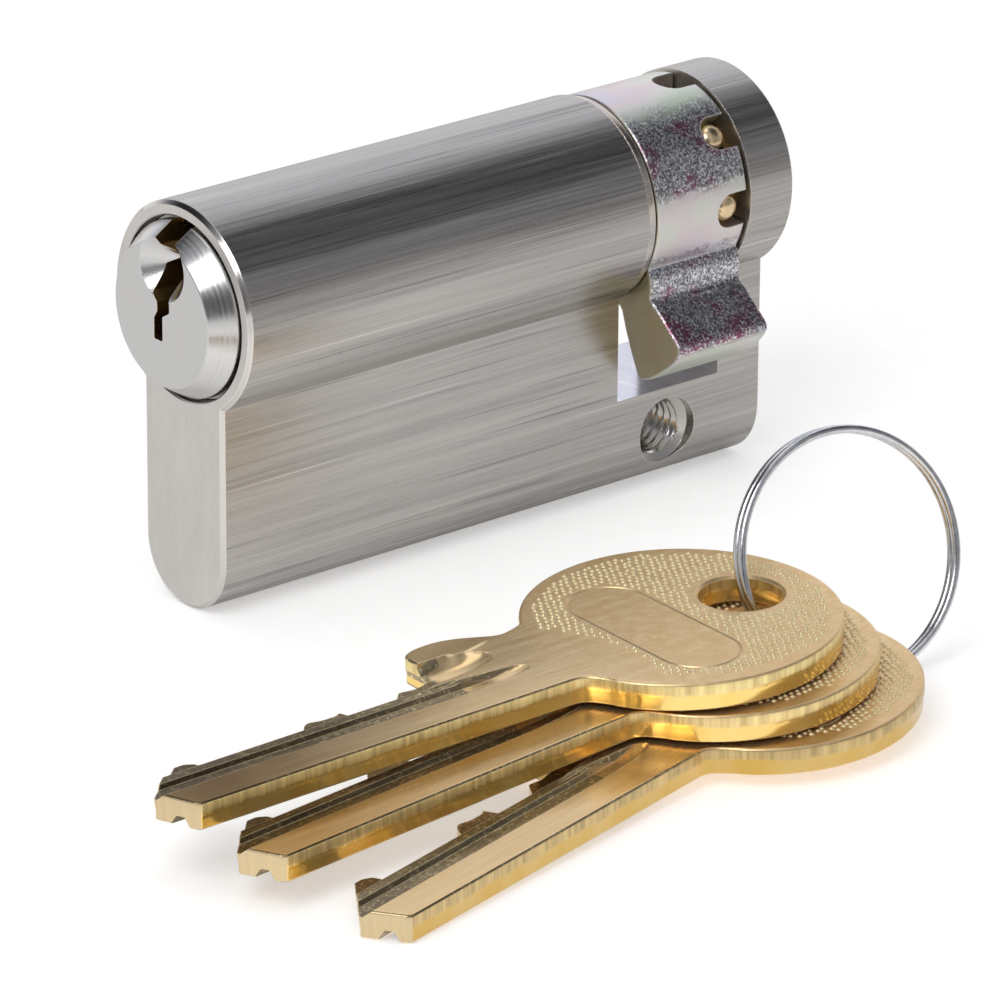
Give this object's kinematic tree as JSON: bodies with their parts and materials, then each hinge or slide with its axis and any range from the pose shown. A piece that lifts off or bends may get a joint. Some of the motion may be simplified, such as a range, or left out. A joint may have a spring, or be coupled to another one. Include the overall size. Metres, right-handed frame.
{
  "type": "euro profile half cylinder",
  "caption": "Long half cylinder lock of euro profile, closed at the back, with a pin tumbler plug, a notched turning cam, and cut keys on a split ring.",
  "frame": {"origin": "centre of the fixing screw's hole, in the web under the cam", "axes": "+Y along the barrel from the key face to the closed end, +Z from the web up to the barrel, +X to the right when the key face is looked at"},
  "size_m": [0.0667, 0.0875, 0.033],
  "materials": {
    "nickel_plate": "satin nickel plate over brass, brushed along the barrel",
    "plug_plate": "polished nickel plate over brass",
    "brass": "turned bare brass",
    "key_brass": "milled and polished bare brass, stippled bow",
    "clip_steel": "stamped spring steel",
    "spring_steel": "drawn wire",
    "zinc_steel": "yellow-passivated zinc plate, iridescent",
    "ring_steel": "bright nickel-plated spring wire"
  },
  "bodies": {
    "lock_body": {"housing": "nickel_plate", "chamber_plug_1": "brass", "chamber_plug_2": "brass", "chamber_plug_3": "brass", "chamber_plug_4": "brass", "chamber_plug_5": "brass", "driver_spring_1": "spring_steel", "driver_spring_2": "spring_steel", "driver_spring_3": "spring_steel", "driver_spring_4": "spring_steel", "driver_spring_5": "spring_steel"},
    "plug_set": {"plug": "plug_plate", "drive_core": "brass", "retaining_clip": "clip_steel", "cam": "zinc_steel"},
    "key_pin_body_1": {"key_pin_1": "brass"},
    "driver_pin_body_1": {"driver_pin_1": "brass"},
    "key_pin_body_2": {"key_pin_2": "brass"},
    "driver_pin_body_2": {"driver_pin_2": "brass"},
    "key_pin_body_3": {"key_pin_3": "brass"},
    "driver_pin_body_3": {"driver_pin_3": "brass"},
    "key_pin_body_4": {"key_pin_4": "brass"},
    "driver_pin_body_4": {"driver_pin_4": "brass"},
    "key_pin_body_5": {"key_pin_5": "brass"},
    "driver_pin_body_5": {"driver_pin_5": "brass"},
    "detent_pin_body_1": {"detent_pin_1": "brass"},
    "detent_pin_body_2": {"detent_pin_2": "brass"},
    "ring": {"split_ring": "ring_steel"},
    "key_body_1": {"key_1": "key_brass"},
    "key_body_2": {"key_2": "key_brass"},
    "key_body_3": {"key_3": "key_brass"}
  },
  "joints": [
    {"name": "plug_turn", "type": "hinge", "parent": "lock_body", "child": "plug_set", "pos_m": [0, -0.045, 0.01945], "axis": [0, 1, 0], "continuous": true},
    {"name": "key_pin_1_lift", "type": "slide", "parent": "plug_set", "child": "key_pin_body_1", "axis": [0, 0, 1], "range_m": [0, 0.00184]},
    {"name": "driver_pin_1_press", "type": "slide", "parent": "lock_body", "child": "driver_pin_body_1", "axis": [0, 0, 1], "range_m": [-0.0022, 0], "stiffness_N_per_m": 15, "springref_m": 0.003, "deforming": ["driver_spring_1"]},
    {"name": "key_pin_2_lift", "type": "slide", "parent": "plug_set", "child": "key_pin_body_2", "axis": [0, 0, 1], "range_m": [0, 0.0036]},
    {"name": "driver_pin_2_press", "type": "slide", "parent": "lock_body", "child": "driver_pin_body_2", "axis": [0, 0, 1], "range_m": [-0.0022, 0], "stiffness_N_per_m": 15, "springref_m": 0.003, "deforming": ["driver_spring_2"]},
    {"name": "key_pin_3_lift", "type": "slide", "parent": "plug_set", "child": "key_pin_body_3", "axis": [0, 0, 1], "range_m": [0, 0.0021]},
    {"name": "driver_pin_3_press", "type": "slide", "parent": "lock_body", "child": "driver_pin_body_3", "axis": [0, 0, 1], "range_m": [-0.0022, 0], "stiffness_N_per_m": 15, "springref_m": 0.003, "deforming": ["driver_spring_3"]},
    {"name": "key_pin_4_lift", "type": "slide", "parent": "plug_set", "child": "key_pin_body_4", "axis": [0, 0, 1], "range_m": [0, 0.00188]},
    {"name": "driver_pin_4_press", "type": "slide", "parent": "lock_body", "child": "driver_pin_body_4", "axis": [0, 0, 1], "range_m": [-0.0022, 0], "stiffness_N_per_m": 15, "springref_m": 0.003, "deforming": ["driver_spring_4"]},
    {"name": "key_pin_5_lift", "type": "slide", "parent": "plug_set", "child": "key_pin_body_5", "axis": [0, 0, 1], "range_m": [0, 0.00202]},
    {"name": "driver_pin_5_press", "type": "slide", "parent": "lock_body", "child": "driver_pin_body_5", "axis": [0, 0, 1], "range_m": [-0.0022, 0], "stiffness_N_per_m": 15, "springref_m": 0.003, "deforming": ["driver_spring_5"]},
    {"name": "detent_pin_1_press", "type": "slide", "parent": "plug_set", "child": "detent_pin_body_1", "axis": [0.9976, 0, -0.0698], "range_m": [-0.001, 0], "stiffness_N_per_m": 10, "springref_m": 0.002},
    {"name": "detent_pin_2_press", "type": "slide", "parent": "plug_set", "child": "detent_pin_body_2", "axis": [0.7547, 0, 0.6561], "range_m": [-0.001, 0], "stiffness_N_per_m": 10, "springref_m": 0.002},
    {"name": "ring_lift", "type": "slide", "parent": "lock_body", "child": "ring", "axis": [0, 0, 1], "range_m": [0, 0.05]},
    {"name": "key_1_swing", "type": "hinge", "parent": "ring", "child": "key_body_1", "pos_m": [0.04028, -0.02283, 0.00249], "axis": [0.0039, -0.0277, 0.9996], "range_deg": [-10, 10]},
    {"name": "key_2_swing", "type": "hinge", "parent": "ring", "child": "key_body_2", "pos_m": [0.04134, -0.02198, 0.00002], "axis": [0.0039, -0.0277, 0.9996], "range_deg": [-10, 10]},
    {"name": "key_3_swing", "type": "hinge", "parent": "ring", "child": "key_body_3", "pos_m": [0.0426, -0.01995, -0.00244], "axis": [0.0039, -0.0277, 0.9996], "range_deg": [-10, 10]}
  ]
}
